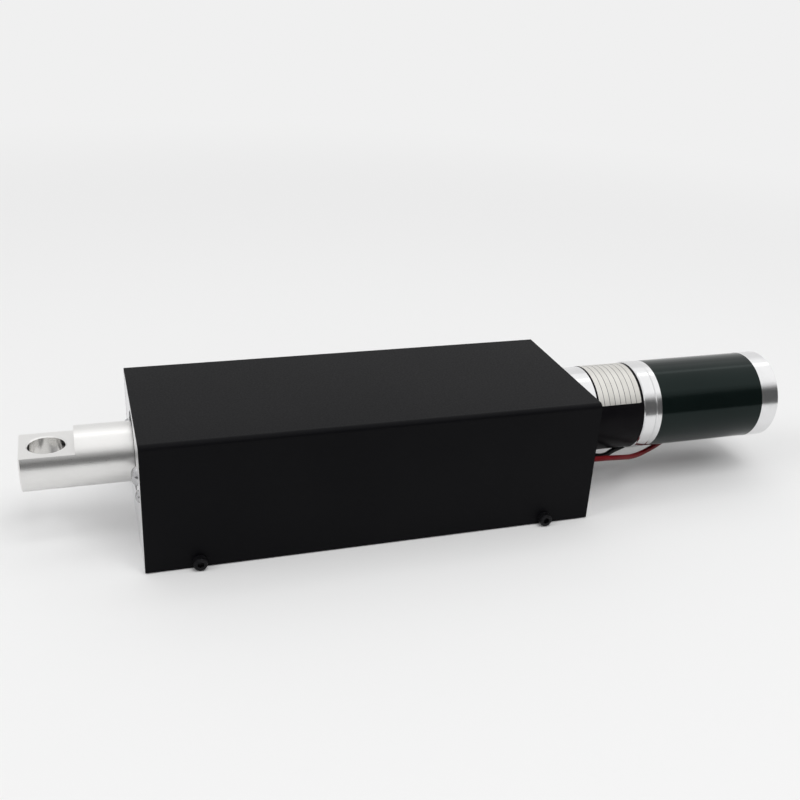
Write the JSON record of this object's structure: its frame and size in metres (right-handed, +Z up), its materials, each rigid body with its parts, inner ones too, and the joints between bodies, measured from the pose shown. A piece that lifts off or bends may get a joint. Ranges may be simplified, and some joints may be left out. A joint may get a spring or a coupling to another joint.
{
  "type": "electric linear actuator",
  "caption": "In-line electric linear actuator: a push rod with a flattened eye slides out of a covered box, driven through a lead screw by a round gear motor behind it.",
  "frame": {"origin": "centre of the base plate's underside, on the face it stands on", "axes": "+X along the rod's axis from the eye towards the motor, +Z up"},
  "size_m": [0.3313, 0.08, 0.0545],
  "materials": {
    "cover_paint": "matte black powder coat",
    "plate_aluminium": "milled",
    "rod_aluminium": "satin, turned and milled",
    "bright_steel": "bright ground or stainless",
    "black_steel": "black oxide",
    "zinc_silver": "turned, bright",
    "gearbox_black": "black with a blank silver foil",
    "can_paint": "glossy green-black",
    "bronze": "sintered",
    "copper": "enamelled or bare copper",
    "dark_iron": "ferrite, graphite or laminated steel",
    "black_plastic": "moulded",
    "black_rubber": "moulded",
    "red_insulation": "flexible insulation",
    "black_insulation": "flexible insulation"
  },
  "bodies": {
    "housing": {"top_cover": "cover_paint", "base_plate": "plate_aluminium", "front_plate": "plate_aluminium", "rear_plate": "plate_aluminium", "bush_retainer": "plate_aluminium", "bearing_block": "plate_aluminium", "bearing_cap": "plate_aluminium", "switch_rail": "plate_aluminium", "guide_rods": "bright_steel", "guide_rod_screws": "bright_steel", "retainer_screws": "bright_steel", "bearing_outer_rings": "bright_steel", "motor_tie_bolts": "bright_steel", "cover_screws": "black_steel", "base_screws": "black_steel", "switch_screws": "black_steel", "inner_cap_screws": "black_steel", "gearbox_screws": "black_steel", "gearbox_flange": "zinc_silver", "motor_adapter": "zinc_silver", "motor_front_cap": "zinc_silver", "motor_end_cap": "zinc_silver", "ring_gear": "gearbox_black", "motor_can": "can_paint", "rod_bush": "bronze", "output_bush": "bronze", "motor_bushes": "bronze", "motor_magnets": "dark_iron", "brushes": "dark_iron", "front_switch": "black_plastic", "rear_switch": "black_plastic", "brush_ring": "black_plastic", "rod_wiper": "black_rubber", "lead_bushing": "black_rubber", "lead_boot": "black_rubber", "lead_red": "red_insulation", "lead_black": "black_insulation"},
    "slider": {"push_rod": "rod_aluminium", "carriage": "plate_aluminium", "rod_lock_screw": "black_steel", "drive_nut": "bronze", "carriage_screws": "black_steel", "guide_bushes": "bronze", "trip_flag": "black_plastic"},
    "screw": {"lead_screw": "bright_steel", "lock_nut": "black_steel", "bearing_inner_rings": "bright_steel", "shaft_coupling": "plate_aluminium", "coupling_screws": "black_steel", "planet_carrier": "bright_steel"},
    "planet_1": {"planet_gear_1": "bright_steel"},
    "planet_2": {"planet_gear_2": "bright_steel"},
    "planet_3": {"planet_gear_3": "bright_steel"},
    "rotor": {"motor_shaft": "bright_steel", "armature_core": "dark_iron", "armature_windings": "copper", "commutator": "copper", "sun_gear": "bright_steel"},
    "front_button": {"front_plunger": "black_plastic"},
    "rear_button": {"rear_plunger": "black_plastic"}
  },
  "joints": [
    {"name": "motor_spin", "type": "hinge", "parent": "housing", "child": "rotor", "pos_m": [0.16, 0, 0.034], "axis": [1, 0, 0], "range_deg": [0, 12672]},
    {"name": "screw_spin", "type": "hinge", "parent": "housing", "child": "screw", "pos_m": [0.05, 0, 0.034], "axis": [1, 0, 0], "range_deg": [0, 2880]},
    {"name": "rod_slide", "type": "slide", "parent": "housing", "child": "slider", "axis": [-1, 0, 0], "range_m": [0, 0.08]},
    {"name": "planet_spin_1", "type": "hinge", "parent": "screw", "child": "planet_1", "pos_m": [0.115, 0.0099, 0.034], "axis": [1, 0, 0], "range_deg": [-8160, 0]},
    {"name": "planet_spin_2", "type": "hinge", "parent": "screw", "child": "planet_2", "pos_m": [0.115, -0.00495, 0.04257], "axis": [1, 0, 0], "range_deg": [-8160, 0]},
    {"name": "planet_spin_3", "type": "hinge", "parent": "screw", "child": "planet_3", "pos_m": [0.115, -0.00495, 0.02543], "axis": [1, 0, 0], "range_deg": [-8160, 0]},
    {"name": "front_plunger_press", "type": "slide", "parent": "housing", "child": "front_button", "axis": [0, 0, -1], "range_m": [0, 0.0006], "stiffness_N_per_m": 1200, "springref_m": -0.0005},
    {"name": "rear_plunger_press", "type": "slide", "parent": "housing", "child": "rear_button", "axis": [0, 0, -1], "range_m": [0, 0.0006], "stiffness_N_per_m": 1200, "springref_m": -0.0005}
  ],
  "couplings": [
    {"joint": "screw_spin", "follows": "rod_slide", "rad_per_m": 628.32},
    {"joint": "motor_spin", "follows": "rod_slide", "rad_per_m": 2764.6},
    {"joint": "planet_spin_1", "follows": "rod_slide", "rad_per_m": -1780.2},
    {"joint": "planet_spin_2", "follows": "rod_slide", "rad_per_m": -1780.2},
    {"joint": "planet_spin_3", "follows": "rod_slide", "rad_per_m": -1780.2}
  ]
}
